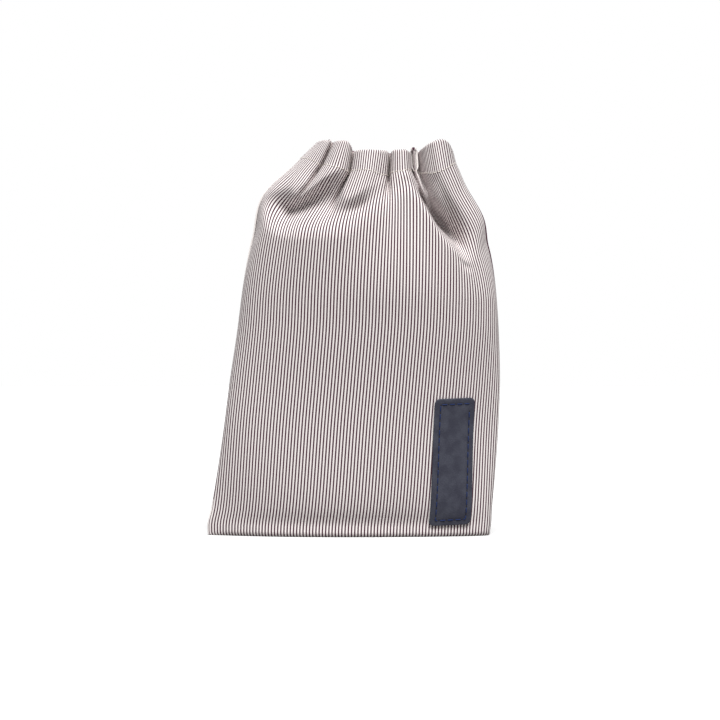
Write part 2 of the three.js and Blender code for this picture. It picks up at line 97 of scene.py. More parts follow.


# Front shoulder, read: stripe, the knee's point across and down the photograph and its
# depth, softness, sag across and in depth, roll, and where on the neck the roll and the sag are
SHOULDER_STATIONS = [
    [0, 251.2, 220, 0, 0.5, -5.3, 0, 0, 0.4, 0.45],
    [4, 254.5, 217, -6.5, 0.45, -5.0, 1.2, 0.8, 0.5, 0.42],
    [8, 262, 213, -12, 0.3, -3.2, 5.0, 1.5, 0.55, 0.28],
    [12, 271.5, 216.5, -17, 0.2, -0.8, 9.2, 1.4, 0.62, 0.2],
    [16, 282, 221, -20.5, 0.15, -0.2, 11.2, 1.4, 0.72, 0.2],
    [19, 289.5, 223, -22.6, 0.14, 0, 11.6, 1.0, 0.85, 0.28],
    [22, 297, 224, -24.5, 0.13, 0, 11.8, 0.5, 0.97, 0.38],
    [26, 309, 224.6, -26.3, 0.13, 0, 10.0, 0, 1, 0.46],
    [30, 321, 224, -27.6, 0.13, 0, 6.8, 0, 1, 0.4],
    [34, 333.5, 223.5, -28.4, 0.13, 0, 4.2, 0, 1, 0.22],
    [38, 347, 220, -28.8, 0.17, 0, 3.8, 0, 1, 0.22],
    [42, 359.5, 213, -28, 0.23, 0, 2.6, 0, 1, 0.28],
    [46, 373, 205.5, -26.8, 0.26, 0, 1.2, 0, 1, 0.32],
    [50, 386, 200, -25.2, 0.26, 0, 0.6, 0, 1, 0.34],
    [54, 397.5, 195, -23.6, 0.26, 0, 0.6, 0, 1, 0.34],
    [58, 409, 186, -21.2, 0.2, 0, 1.0, 0, 1, 0.34],
    [61, 419, 196, -21.2, 0.14, 0, 2.4, 0, 1, 0.34],
    [64, 428.5, 211, -22.2, 0.09, 0, 8.6, 0, 1, 0.28],
    [67, 437.5, 228, -22.6, 0.08, 0, 13.0, 0, 1, 0.3],
    [70, 447, 241, -22, 0.08, 0, 15.4, 0, 1, 0.3],
    [74, 458, 253, -19.8, 0.1, 0, 15.6, 0, 1, 0.32],
    [78, 468, 264, -17, 0.15, 0.2, 11.6, 0, 1, 0.34],
    [82, 477.4, 268, -13, 0.26, 1.2, 4.4, 0, 1, 0.4],
    [86, 485.6, 261, -8.8, 0.38, 2.0, 1.0, 0, 1, 0.34],
    [92.5, 492.6, 247, 0, 0.5, 2.4, 0, 0, 1, 0.34],
]

# Front gathers, read: stripe, the photograph's point and the depth on the stitch line, and
# the same on the rim
GATHER_STATIONS = [
    [0, 301, 157.5, 0, 318.5, 140.5, 0],
    [4, 303.3, 157.8, -5, 320, 139.8, -4.4],
    [8, 309.6, 159, -9.8, 323.5, 138.8, -9],
    [11, 315, 161.5, -11.8, 327.5, 139.5, -10.9],
    [13.8, 319.4, 164.6, -11.6, 331.4, 140, -11],
    [15.5, 322, 166, -7.2, 333.2, 142, -6.8],
    [17.2, 324.4, 164, -12.4, 335, 140, -11.6],
    [21, 331, 165, -17, 340.5, 139.5, -14.8],
    [25, 341, 168, -18, 348, 140.5, -15],
    [28.4, 347.9, 171.5, -14.4, 352.2, 145, -12.4],
    [30.5, 349.8, 174, -6, 353.4, 150.5, -6],
    [32.6, 351.7, 170.6, -14.6, 355, 149.6, -12.6],
    [36.5, 360, 169.5, -20, 362.5, 148.5, -17],
    [41, 370.5, 170, -21, 373, 148.5, -17.8],
    [45, 379, 173.5, -18.5, 382.5, 149.5, -15.8],
    [48.4, 386.8, 175.2, -13.2, 388.8, 150.8, -12],
    [50.5, 388.8, 176, -4.6, 390.2, 153, -5],
    [52.6, 391, 172.6, -13.4, 391.8, 149.6, -12.2],
    [56.5, 400, 170.8, -17.4, 399.5, 148.5, -15],
    [59.5, 407.5, 169.5, -15.6, 406.3, 148.5, -13.6],
    [62, 411.2, 170.5, -8.5, 409.8, 150.5, -8],
    [63.6, 412.6, 171.5, -3.5, 411, 151.5, -3.5],
    [66.5, 415.5, 170.5, -8.8, 413.8, 148.2, -8.2],
    [69.3, 418.8, 172.5, -2.6, 416.8, 151.5, -2.8],
    [72.5, 421.6, 173, -6.8, 419, 149.5, -6.2],
    [76.5, 426.4, 173, -12, 422.8, 146.4, -10.6],
    [80.2, 432.6, 173, -15.2, 427.6, 143.2, -13.2],
    [84, 440.5, 171, -17, 434.8, 139.9, -15],
    [87.5, 448, 167.5, -14, 443, 138.2, -12],
    [90, 453, 164, -7.2, 448.6, 141, -6.2],
    [92.5, 456, 162.5, 0, 452.5, 148, 0],
]

FRONT_KNEE = np.array([row[:1] + seen_at(*row[1:4]) + row[4:] for row in SHOULDER_STATIONS])
FRONT_GATHERS = np.array([row[:1] + seen_at(*row[1:4]) + seen_at(*row[4:]) for row in GATHER_STATIONS])

# How far the hem may cross the seam plane, and the stripes from a seam over which that grows
HEM_FREEDOM = 6.0
HEM_FREE_FROM = 3
HEM_FREE_TO = 14

# Share of the hem's length from which it closes on the wall
HEM_CLOSES_FROM = 0.72

# Stripes over which the rim's inward direction is averaged
RIM_SPREAD = 1.6

# Places on the neck run from -1 at the top of the body over 0 at the knee to 1 at the stitch line
NECK_STATION_POWER = 1.35

# The sag starts a little before the knee, and nearer to it on the stripes past the crease
SAG_FROM = -0.2
SAG_FROM_CREASE = -0.04
CREASE_FROM_STRIPE = 50
CREASE_TO_STRIPE = 58

# How far past twice the place of its deepest point the sag is over
SAG_REACH = 0.1

# Length of neck that the roll takes, and the way it stands out
ROLL_SPREAD = 0.15
ROLL_WAY = np.array([0, -1.0, -0.5])

# Small hollows of the front: stripe, place on the neck, spreads, depth
DIMPLES = [
    [41, 0.22, 3.0, 0.13, 2.0],
    [77.5, -0.1, 2.6, 0.09, 1.4],
]

# Back panel, even throughout but for the seams that it shares with the front
BACK_SEAM_BLEND = 0.36
BACK_KNEE_HEIGHT = 148.5
BACK_KNEE_DEPTH = 28.6
BACK_KNEE_ARCH = 0.9
BACK_KNEE_SOFTNESS = 0.34
BACK_SAG = 2.4
BACK_SAG_AT = 0.32
BACK_LOBES = 6
BACK_LOBE_DEPTH = 5.6
BACK_GATHER_ARCH = 0.8
BACK_STITCH_DEPTH = 13.5
BACK_RIM_DEPTH = 12.5
BACK_RIM_LOBES = 0.9
BACK_RIM_HEIGHT = 191.5
BACK_STITCH_HEIGHT = 179.5


# Shape functions

def smoothstep(x, low, high):
    t = np.clip((x - low) / (high - low), 0, 1)
    return t * t * (3 - 2 * t)


def lerp(a, b, t):
    return a + (b - a) * t


def read_table(table, value):
    """Row of a table at a value of its first column, by cubic interpolation."""
    last = len(table) - 1
    k = int(np.clip(np.searchsorted(table[:, 0], value) - 1, 0, last - 1))
    before, low = table[max(k - 1, 0)], table[k]
    high, after = table[k + 1], table[min(k + 2, last)]
    span = high[0] - low[0]
    t = np.clip((value - low[0]) / span, 0, 1)
    slope_low = (high - before) / (high[0] - before[0]) * span
    slope_high = (after - low) / (after[0] - low[0]) * span
    t2, t3 = t * t, t * t * t
    return (
        (2 * t3 - 3 * t2 + 1) * low
        + (t3 - 2 * t2 + t) * slope_low
        + (3 * t2 - 2 * t3) * high
        + (t3 - t2) * slope_high
    )


def section_line(row, bulge):
    """Half of the body's section as a polyline of a given bulge."""
    across = -np.cos(np.pi * np.arange(SECTION_STEPS + 1) / SECTION_STEPS)
    share = (across + 1) / 2
    power = lerp(row[3], row[4], share)
    depth = bulge * np.maximum(1 - across * across, 0) ** power
    return lerp(row[1], row[2], share), depth


def line_length(x, y):
    """Length of a flat polyline up to each of its points."""
    return np.concatenate([[0], np.cumsum(np.hypot(np.diff(x), np.diff(y)))])


def body_row(side, stripes, height):
    """Points of the body at a height, for stripes counted from the left seam; side is -1 front, 1 back."""
    row = read_table(SILHOUETTE, height)
    low, high = 2.0, 60.0
    for _ in range(30):
        middle = (low + high) / 2
        if line_length(*section_line(row, middle))[-1] < PANEL_WIDTH:
            low = middle
        else:
            high = middle
    x, y = section_line(row, (low + high) / 2)
    along = line_length(x, y)
    at = stripes / PANEL_STRIPES * along[-1]
    depth = np.maximum(np.interp(at, along, y), SEAM_HALF_GAP)
    return np.stack([np.interp(at, along, x), side * depth, np.full(len(at), float(height))], axis=1)


def soft_ramp(t, softness):
    """Rounded ramp from 0 at -1 to 1 at 1."""
    return (t + np.sqrt(t * t + softness ** 2) + 1 - np.sqrt(1 + softness ** 2)) / 2


def front_columns(stripes):
    """Knee, softness, sag, stitch line and rim of each column of the front panel."""
    knee = np.array([read_table(FRONT_KNEE, s) for s in stripes])
    gather = np.array([read_table(FRONT_GATHERS, s) for s in stripes])
    sag = np.stack([knee[:, 5], knee[:, 6], 0 * knee[:, 6]], axis=1)
    return {
        "stripes": stripes,
        "knee": knee[:, 1:4],
        "softness": knee[:, 4],
        "sag": sag,
        "roll": knee[:, 7],
        "roll_at": knee[:, 8],
        "sag_at": knee[:, 9],
        "stitch": gather[:, 1:4],
        "rim": gather[:, 4:7],
    }


def back_columns(stripes):
    """The same for the back panel, which shares the side seams with the front."""
    seams = front_columns(np.array([0, PANEL_STRIPES]))
    share = stripes / PANEL_STRIPES
    seam_weight = smoothstep(np.abs(share - 0.5), BACK_SEAM_BLEND, 0.5)
    arch = np.sqrt(np.maximum(1 - (2 * share - 1) ** 2, 0))
    lobe = share * BACK_LOBES
    turn = (lobe - np.floor(lobe)) * np.pi
    lobe_x = (0.5 - np.cos(turn) / 2 - turn / np.pi) / BACK_LOBES
    lobe_depth = BACK_LOBE_DEPTH * np.sin(turn) * smoothstep(arch, 0, 0.5)

    def place(name, depth, height):
        x = lerp(seams[name][0, 0], seams[name][1, 0], share + lobe_x)
        y = np.maximum(depth * arch ** BACK_GATHER_ARCH, SEAM_HALF_GAP)
        seam_z = lerp(seams[name][0, 2], seams[name][1, 2], share + lobe_x)
        return np.stack([x, y, lerp(height, seam_z, seam_weight)], axis=1)

    top = body_row(1, stripes, BODY_TOP)
    low, high = read_table(SILHOUETTE, BODY_TOP)[1:3]
    nearest = (share > 0.5).astype(int)
    knee = np.stack([
        lerp(seams["knee"][0, 0], seams["knee"][1, 0], (top[:, 0] - low) / (high - low)),
        np.maximum(BACK_KNEE_DEPTH * arch ** BACK_KNEE_ARCH, SEAM_HALF_GAP),
        lerp(BACK_KNEE_HEIGHT, seams["knee"][nearest, 2], seam_weight),
    ], axis=1)
    sag = np.stack([seams["sag"][nearest, 0] * seam_weight, -BACK_SAG * arch, 0 * arch], axis=1)
    return {
        "knee": knee,
        "stripes": stripes,
        "softness": np.full(len(stripes), BACK_KNEE_SOFTNESS),
        "roll": 0 * arch,
        "roll_at": 0 * arch,
        "sag_at": lerp(BACK_SAG_AT, seams["sag_at"][nearest], seam_weight),
        "sag": sag,
        "stitch": place("stitch", BACK_STITCH_DEPTH + lobe_depth, BACK_STITCH_HEIGHT),
        "rim": place("rim", BACK_RIM_DEPTH + lobe_depth * BACK_RIM_LOBES, BACK_RIM_HEIGHT),
    }


def base_rows(side, stripes):
    """Rows from the seam under the base to the foot of the wall."""
    foot = body_row(side, stripes, BASE_EDGE_RADIUS)
    centre = float(body_row(side, np.array([PANEL_STRIPES / 2]), 0)[0, 0])
    foot_in = foot.copy()
    foot_in[:, 0] = lerp(centre, foot[:, 0], 1 - BASE_FOOT_TUCK / PANEL_WIDTH)
    foot_in[:, 2] = 0
    pull = BASE_EDGE_RADIUS * 0.9 * smoothstep(np.abs(foot[:, 1]), 0, BASE_PULL_REACH)
    foot_in[:, 1] = side * np.maximum(np.abs(foot[:, 1]) - pull, SEAM_HALF_GAP)
    seam = foot.copy()
    seam[:, 0] = lerp(centre, foot[:, 0], 1 - BASE_SEAM_TUCK / PANEL_WIDTH)
    seam[:, 1] = side * SEAM_HALF_GAP
    seam[:, 2] = 0
    rows = [lerp(seam, foot_in, t) for t in (0, 0.3, 0.6, 0.85, 1)]
    corner = foot * np.array([1, 1, 0])
    for t in (0.2, 0.4, 0.6, 0.8):
        rows.append((1 - t) ** 2 * foot_in + 2 * t * (1 - t) * corner + t * t * foot)
    rows.append(foot)
    return rows


def sag_end(sag_at):
    """Where on the neck the sag is over, from the place where it is deepest."""
    return np.minimum(2 * sag_at + SAG_REACH, 1)


def neck_turn(columns, top, below):
    """What the neck's slope lacks at the top of the body, so that the two meet without a crease."""
    reach = np.sqrt(1 + columns["softness"] ** 2)[:, None]
    slope = (columns["knee"] - top) * (1 + 1 / reach) / 2
    slope += (columns["stitch"] - columns["knee"]) * (1 - 1 / reach) / 2
    rise = (top - below) / (top - below)[:, 2:]
    return rise * slope[:, 2:] - slope


def neck_rows(side, columns, top, below):
    """Rows from the top of the body over the shoulder to the stitch line."""
    turn = neck_turn(columns, top, below)
    stations = np.linspace(-1, 1, NECK_ROWS + 1)[1:]
    stations = np.sign(stations) * np.abs(stations) ** NECK_STATION_POWER
    sag_at = columns["sag_at"]
    crease = smoothstep(columns["stripes"], CREASE_FROM_STRIPE, CREASE_TO_STRIPE)
    sag_from = lerp(SAG_FROM, SAG_FROM_CREASE, crease)
    rows = []
    for t in stations:
        point = columns["knee"].copy()
        point += (top - columns["knee"]) * soft_ramp(-t, columns["softness"])[:, None]
        point += (columns["stitch"] - columns["knee"]) * soft_ramp(t, columns["softness"])[:, None]
        point += turn * (1 + t) * min(t, 0) ** 2
        sag_share = smoothstep(t, sag_from, sag_at) * (1 - smoothstep(t, sag_at, sag_end(sag_at)))
        point += columns["sag"] * sag_share[:, None]
        roll = columns["roll"] * np.exp(-(((t - columns["roll_at"]) / ROLL_SPREAD) ** 2))
        point += roll[:, None] * ROLL_WAY
        if side < 0:
            for stripe, at, stripe_spread, spread, depth in DIMPLES:
                near = ((columns["stripes"] - stripe) / stripe_spread) ** 2 + ((t - at) / spread) ** 2
                point[:, 1] += depth * np.exp(-near)
        rows.append(point)
    return rows


def keep_side(rows, side, free):
    """Keep points on the panel's own side of the seam plane, less strictly away from the seams."""
    for row in rows:
        row[:, 1] = side * np.maximum(side * row[:, 1], SEAM_HALF_GAP - free)


def grid_normals(grid, side):
    """Outward normals of a grid of points, rows first."""
    along = np.gradient(grid, axis=1)
    up = np.gradient(grid, axis=0)
    normal = np.cross(along, up) * -side
    return normal / np.maximum(np.linalg.norm(normal, axis=2, keepdims=True), 1e-9)


def even_out(line, spread):
    """A row of directions, each averaged with those near it."""
    reach = int(3 * spread)
    offsets = np.arange(-reach, reach + 1)
    weights = np.exp(-((offsets / spread) ** 2))
    index = np.clip(np.arange(len(line))[:, None] + offsets, 0, len(line) - 1)
    return (line[index] * weights[None, :, None]).sum(axis=1) / weights.sum()


def fold_and_hem_rows(top, stitch_line, up, inward):
    """Rows round the rim's fold and down inside the casing to the end of the hem."""
    centre = top + inward * FOLD_OUTER_RADIUS
    rows = []
    for k in range(1, FOLD_ROWS + 1):
        angle = math.pi * k / FOLD_ROWS
        arm = -math.cos(angle) * inward + math.sin(angle) * up
        rows.append(centre + arm * FOLD_OUTER_RADIUS)
    hem_back = 2 * FOLD_MID_RADIUS + CLOTH_THICKNESS
    for k in range(1, HEM_ROWS + 1):
        share = k / HEM_ROWS
        closing = (CHANNEL_GAP - HEM_END_GAP) * smoothstep(share, HEM_CLOSES_FROM, 1)
        rows.append(lerp(top, stitch_line, share) + inward * (hem_back - closing))
    return rows


def panel_grid(side, count):
    """Outer face of a panel as a grid, rows first, from the base seam to the end of the hem."""
    stripes = np.linspace(0, PANEL_STRIPES, count + 1)
    columns = front_columns(stripes) if side < 0 else back_columns(stripes)
    rows = base_rows(side, stripes)
    for height in np.linspace(BASE_EDGE_RADIUS, BODY_TOP, BODY_ROWS + 1)[1:]:
        rows.append(body_row(side, stripes, height))
    rows += neck_rows(side, columns, rows[-1], rows[-2])
    stitch_row = len(rows) - 1
    casing = columns["rim"] - columns["stitch"]
    height = np.linalg.norm(casing, axis=1, keepdims=True)
    up = casing / height
    casing *= 1 - FOLD_OUTER_RADIUS / height
    for k in range(1, CASING_ROWS + 1):
        rows.append(columns["stitch"] + casing * k / CASING_ROWS)
    keep_side(rows, side, 0)
    wall = np.array(rows)
    inward = even_out(-grid_normals(wall, side)[-3], RIM_SPREAD * count / PANEL_STRIPES)
    inward -= up * (inward * up).sum(axis=1, keepdims=True)
    inward /= np.linalg.norm(inward, axis=1, keepdims=True)
    rows += fold_and_hem_rows(wall[-1], wall[stitch_row], up, inward)
    from_seam = np.minimum(stripes, PANEL_STRIPES - stripes)
    keep_side(rows, side, HEM_FREEDOM * smoothstep(from_seam, HEM_FREE_FROM, HEM_FREE_TO))
    return np.array(rows), stitch_row


# Meshes

def to_frame(points):
    """Points of the shape in metres, in the part's frame."""
    return (np.asarray(points) + np.array([SHIFT_X, SHIFT_Y, 0])) * MM


def grid_mesh(name, grid, side):
    """Mesh object of a grid, with a UV map that runs once across and once along the cloth."""
    rows, columns = grid.shape[:2]
    index = np.arange(rows * columns).reshape(rows, columns)
    corners = np.stack([index[:-1, :-1], index[:-1, 1:], index[1:, 1:], index[1:, :-1]], axis=-1)
    if side > 0:
        corners = corners[..., ::-1]
    faces = corners.reshape(-1, 4)
    mesh = bpy.data.meshes.new(name)
    mesh.from_pydata(to_frame(grid.reshape(-1, 3)).tolist(), [], faces.tolist())
    mesh.polygons.foreach_set("use_smooth", [True] * len(faces))
    across = np.tile(np.linspace(0, 1, columns), rows)
    along = np.repeat(arc_share(grid), columns)
    uv = np.stack([across, along], axis=1)[faces.reshape(-1)]
    layer = mesh.uv_layers.new(name="OFBake")
    layer.data.foreach_set("uv", uv.reshape(-1))
    piece = bpy.data.objects.new(name, mesh)
    bpy.context.scene.collection.objects.link(piece)
    return piece


def arc_share(grid):
    """Mean distance up the cloth at each row, as a share of the whole."""
    steps = np.linalg.norm(np.diff(grid, axis=0), axis=2).mean(axis=1)
    along = np.concatenate([[0], np.cumsum(steps)])
    return along / along[-1]


def cloth_length(grid):
    """Mean length of the cloth from its base seam to the end of its hem."""
    return float(np.linalg.norm(np.diff(grid, axis=0), axis=2).mean(axis=1).sum())


# Materials

class Shader:
    """Builds a node tree with short calls."""

    def __init__(self, name):
        self.material = bpy.data.materials.new(name)
        self.material.use_nodes = True
        self.nodes = self.material.node_tree.nodes
        self.links = self.material.node_tree.links
        self.nodes.clear()
        self.output = self.nodes.new("ShaderNodeOutputMaterial")

    def put(self, socket, value):
        """Link a node's output to a socket, or set a plain value on it."""
        if isinstance(value, bpy.types.NodeSocket):
            self.links.new(value, socket)
        else:
            socket.default_value = value

    def node(self, kind, inputs=None, **settings):
        made = self.nodes.new(kind)
        for key, value in settings.items():
            setattr(made, key, value)
        for key, value in (inputs or {}).items():
            self.put(made.inputs[key], value)
        return made

    def math(self, operation, a, b=0.0):
        return self.node("ShaderNodeMath", {0: a, 1: b}, operation=operation).outputs[0]

    def ramp(self, value, low, high):
        """0 at low, 1 at high, smooth between."""
        made = self.node(
            "ShaderNodeMapRange",
            {"Value": value, "From Min": low, "From Max": high},
            interpolation_type="SMOOTHSTEP",
        )
        return made.outputs["Result"]

    def mix(self, share, a, b):
        made = self.node("ShaderNodeMix", data_type="RGBA")
        self.put(made.inputs["Factor"], share)
        self.put(made.inputs["A"], a)
        self.put(made.inputs["B"], b)
        return made.outputs["Result"]

    def finish(self, surface):
        self.links.new(surface, self.output.inputs["Surface"])
        return self.material


def linear(red, green, blue):
    """Scene colour of a display colour given as 0 to 255."""
    def one(value):
        value /= 255
        return value / 12.92 if value <= 0.04045 else ((value + 0.055) / 1.055) ** 2.4
    return (one(red), one(green), one(blue), 1)


LIGHT_STRIPE = linear(255, 249, 246)
DARK_STRIPE = linear(80, 48, 62)
CLOTH_GRAIN = linear(128, 112, 120)
NAVY_DARK = linear(58, 59, 72)
NAVY_LIGHT = linear(74, 76, 88)
# Painted shade: darker navy of the leather's grain pits
NAVY_PIT_SHADE = linear(46, 48, 64)
NAVY_THREAD = linear(36, 52, 98)
# Painted shade: near-black colours of the tubes that stand in for the needle holes
HOLE_SHADE_DARK = linear(18, 19, 28)
HOLE_SHADE_LIGHT = linear(30, 31, 42)
ECRU = linear(232, 224, 214)
ELASTIC_WHITE = linear(228, 224, 218)
# Painted shade: darker off-white of the elastic's grooves
ELASTIC_GROOVE_SHADE = linear(200, 195, 188)

# Millimetres from one weft thread to the next, and metres from one rib of the elastic to the next
PICK_REPEAT = 0.55
RIB_REPEAT = 0.0009


def striped_cloth(name, length_mm):
    """Fine light and dark woven stripes that run along the cloth."""
    s = Shader(name)
    uv = s.node("ShaderNodeUVMap", uv_map="OFBake").outputs["UV"]
    parts = s.node("ShaderNodeSeparateXYZ", {"Vector": uv})
    stripe = s.math("MULTIPLY", parts.outputs["X"], PANEL_STRIPES)
    along = s.math("MULTIPLY", parts.outputs["Y"], length_mm)
    picks = s.math("MULTIPLY", along, 2 * math.pi / PICK_REPEAT)
    bead = s.math("SINE", picks)
    wave = s.math("COSINE", s.math("MULTIPLY", stripe, 2 * math.pi))
    edge = s.math("ADD", wave, s.math("MULTIPLY", bead, 0.1))
    light = s.ramp(edge, -0.32, 0.12)
    colour = s.mix(light, DARK_STRIPE, LIGHT_STRIPE)
    grain = s.node("ShaderNodeTexNoise", {"Scale": 900.0, "Detail": 2.0}).outputs["Fac"]
    shade = s.ramp(grain, 0.1, 0.9)
    colour = s.mix(s.math("MULTIPLY", shade, 0.1), colour, CLOTH_GRAIN)
    threads = s.math("MULTIPLY", bead, s.math("COSINE", s.math("MULTIPLY", stripe, 6 * math.pi)))
    height = s.math("ADD", s.math("MULTIPLY", light, 0.6), s.math("MULTIPLY", threads, 0.35))
    bump = s.node("ShaderNodeBump", {"Strength": 0.35, "Distance": 0.00012, "Height": height})
    surface = s.node(
        "ShaderNodeBsdfPrincipled",
        {"Base Color": colour, "Roughness": 0.9, "Normal": bump.outputs["Normal"]},
    )
    surface.inputs["Specular IOR Level"].default_value = 0.1
    surface.inputs["Sheen Weight"].default_value = 0.04
    surface.inputs["Sheen Roughness"].default_value = 0.5
    return s.finish(surface.outputs["BSDF"])


def patch_leather():
    """Navy leather with a fine pebbled grain, with painted shade in the grain's pits."""
    s = Shader("navy_leather")
    where = s.node("ShaderNodeTexCoord").outputs["Object"]
    grain = s.node("ShaderNodeTexVoronoi", {"Vector": where, "Scale": 1500.0})
    cloud = s.node("ShaderNodeTexNoise", {"Vector": where, "Scale": 160.0, "Detail": 4.0}).outputs["Fac"]
    pits = s.ramp(grain.outputs["Distance"], 0.05, 0.6)
    mottle = s.ramp(cloud, 0.36, 0.66)
    colour = s.mix(mottle, NAVY_DARK, NAVY_LIGHT)
    # The low pits of the grain are painted darker: painted shade
    colour = s.mix(s.math("MULTIPLY", pits, 0.2), colour, NAVY_PIT_SHADE)
    height = s.math("ADD", s.math("MULTIPLY", pits, -0.5), s.math("MULTIPLY", cloud, 0.7))
    bump = s.node("ShaderNodeBump", {"Strength": 0.6, "Distance": 0.0002, "Height": height})
    surface = s.node(
        "ShaderNodeBsdfPrincipled",
        {"Base Color": colour, "Roughness": 0.62, "Normal": bump.outputs["Normal"]},
    )
    surface.inputs["Specular IOR Level"].default_value = 0.35
    return s.finish(surface.outputs["BSDF"])


def thread(name, colour):
    """Twisted sewing thread."""
    s = Shader(name)
    where = s.node("ShaderNodeTexCoord").outputs["Object"]
    twist = s.node("ShaderNodeTexNoise", {"Vector": where, "Scale": 2600.0, "Detail": 1.0}).outputs["Fac"]
    shade = s.mix(s.math("MULTIPLY", twist, 0.3), colour, tuple(0.55 * c for c in colour[:3]) + (1,))
    surface = s.node("ShaderNodeBsdfPrincipled", {"Base Color": shade, "Roughness": 0.75})
    surface.inputs["Specular IOR Level"].default_value = 0.25
    return s.finish(surface.outputs["BSDF"])


def hole_shade_material():
    """Painted shade for the needle holes: near-black tubes stand in for the shade inside each hole."""
    s = Shader("needle_hole")
    where = s.node("ShaderNodeTexCoord").outputs["Object"]
    shade = s.node("ShaderNodeTexNoise", {"Vector": where, "Scale": 900.0}).outputs["Fac"]
    # Near-black colour of the hole tubes: painted shade of the holes
    colour = s.mix(shade, HOLE_SHADE_DARK, HOLE_SHADE_LIGHT)
    surface = s.node("ShaderNodeBsdfPrincipled", {"Base Color": colour, "Roughness": 0.9})
    return s.finish(surface.outputs["BSDF"])


def elastic_braid():
    """Ribbed elastic, off-white, with painted shade in the grooves between the ribs."""
    s = Shader("elastic_braid")
    where = s.node("ShaderNodeTexCoord").outputs["Object"]
    height = s.node("ShaderNodeSeparateXYZ", {"Vector": where}).outputs["Z"]
    rib = s.math("SINE", s.math("MULTIPLY", height, 2 * math.pi / RIB_REPEAT))
    # The low grooves between the ribs are painted darker: painted shade
    colour = s.mix(s.ramp(rib, -1.0, 1.0), ELASTIC_GROOVE_SHADE, ELASTIC_WHITE)
    bump = s.node("ShaderNodeBump", {"Strength": 0.5, "Distance": 0.0002, "Height": rib})
    surface = s.node(
        "ShaderNodeBsdfPrincipled",
        {"Base Color": colour, "Roughness": 0.8, "Normal": bump.outputs["Normal"]},
    )
    return s.finish(surface.outputs["BSDF"])


def solidify(piece, thickness):
    """Give an outer face its thickness, inwards."""
    made = piece.modifiers.new("cloth_thickness", "SOLIDIFY")
    made.thickness = thickness
    made.offset = -1
    made.use_even_offset = False
    bpy.context.view_layer.objects.active = piece
    piece.select_set(True)
    bpy.ops.object.modifier_apply(modifier=made.name)
    piece.select_set(False)


# Thread stitches

# A direction that no stitch runs along
STITCH_ASIDE = [0.31, 0.9, 0.3]


def tube_stitch(points, radius, sides=8):
    """Vertices and faces of a round stitch along a short polyline, thinner at its ends."""
    points = np.asarray(points, float)
    tangents = np.gradient(points, axis=0)
    tangents /= np.linalg.norm(tangents, axis=1, keepdims=True)
    count = len(points)
    vertices = []
    for k, (point, tangent) in enumerate(zip(points, tangents)):
        side = np.cross(tangent, STITCH_ASIDE)
        side /= np.linalg.norm(side)
        up = np.cross(tangent, side)
        share = 2 * k / (count - 1) - 1
        size = radius * math.sqrt(max(1 - share ** 6, 0.02))
        for j in range(sides):
            angle = 2 * math.pi * j / sides
            vertices.append(point + size * (math.cos(angle) * side + math.sin(angle) * up))
    faces = []
    for k in range(count - 1):
        for j in range(sides):
            a, b = k * sides + j, k * sides + (j + 1) % sides
            faces.append([a, b, b + sides, a + sides])
    faces.append(list(range(sides))[::-1])
    faces.append(list(range((count - 1) * sides, count * sides)))
    return vertices, faces


def stitches_mesh(name, lines, radius, material):
    """One piece of all the stitches of a seam."""
    vertices, faces = [], []
    for line in lines:
        some, around = tube_stitch(line, radius)
        faces += [[index + len(vertices) for index in face] for face in around]
        vertices += some
    mesh = bpy.data.meshes.new(name)
    mesh.from_pydata(to_frame(vertices).tolist(), [], faces)
    mesh.polygons.foreach_set("use_smooth", [True] * len(faces))
    mesh.materials.append(material)
    piece = bpy.data.objects.new(name, mesh)
    bpy.context.scene.collection.objects.link(piece)
    return piece


def curve_point(line, along, at):
    """Point of a polyline at a distance along it."""
    return np.array([np.interp(at, along, line[:, axis]) for axis in range(3)])


def stitch_lines(line, normal, pitch, length, lift, dip, start=0.0):
    """Short polylines that dip at both ends, one for each stitch, along a line with outward normals."""
    steps = np.linalg.norm(np.diff(line, axis=0), axis=1)
    along = np.concatenate([[0], np.cumsum(steps)])
    made = []
    at = start
    while at + length < along[-1]:
        points = []
        for share in np.linspace(0, 1, 7):
            where = at + share * length
            rise = lift - dip * (2 * share - 1) ** 4
            points.append(curve_point(line, along, where) + rise * curve_point(normal, along, where))
        made.append(points)
        at += pitch
    return made


# Build the cloth

CASING_STITCH_PITCH = 2.6
CASING_STITCH_LENGTH = 2.2
CASING_STITCH_LIFT = 0.06
CASING_STITCH_DIP = 0.3
CASING_THREAD_RADIUS = 0.2

front_grid, front_stitch = panel_grid(-1, FRONT_COLUMNS)
back_grid, back_stitch = panel_grid(1, BACK_COLUMNS)
for side, name, grid, node in (
    (-1, "front_cloth", front_grid, "front_panel"),
    (1, "back_cloth", back_grid, "back_panel"),
):
    piece = grid_mesh(name, grid, side)
    length_mm = cloth_length(grid)
    piece.data.materials.append(striped_cloth("striped_" + name, length_mm))
    solidify(piece, CLOTH_THICKNESS * MM)
    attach(piece, "root")
    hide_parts(node)

ecru_thread = thread("ecru_thread", ECRU)
casing_lines = []
for side, grid, row in ((-1, front_grid, front_stitch), (1, back_grid, back_stitch)):
    normals = grid_normals(grid, side)
    casing_lines += stitch_lines(
        grid[row],
        normals[row],
        CASING_STITCH_PITCH,
        CASING_STITCH_LENGTH,
        CASING_STITCH_LIFT,
        CASING_STITCH_DIP,
    )
casing_stitches = stitches_mesh("casing_stitches", casing_lines, CASING_THREAD_RADIUS, ecru_thread)
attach(casing_stitches, "root")


# Leather patch

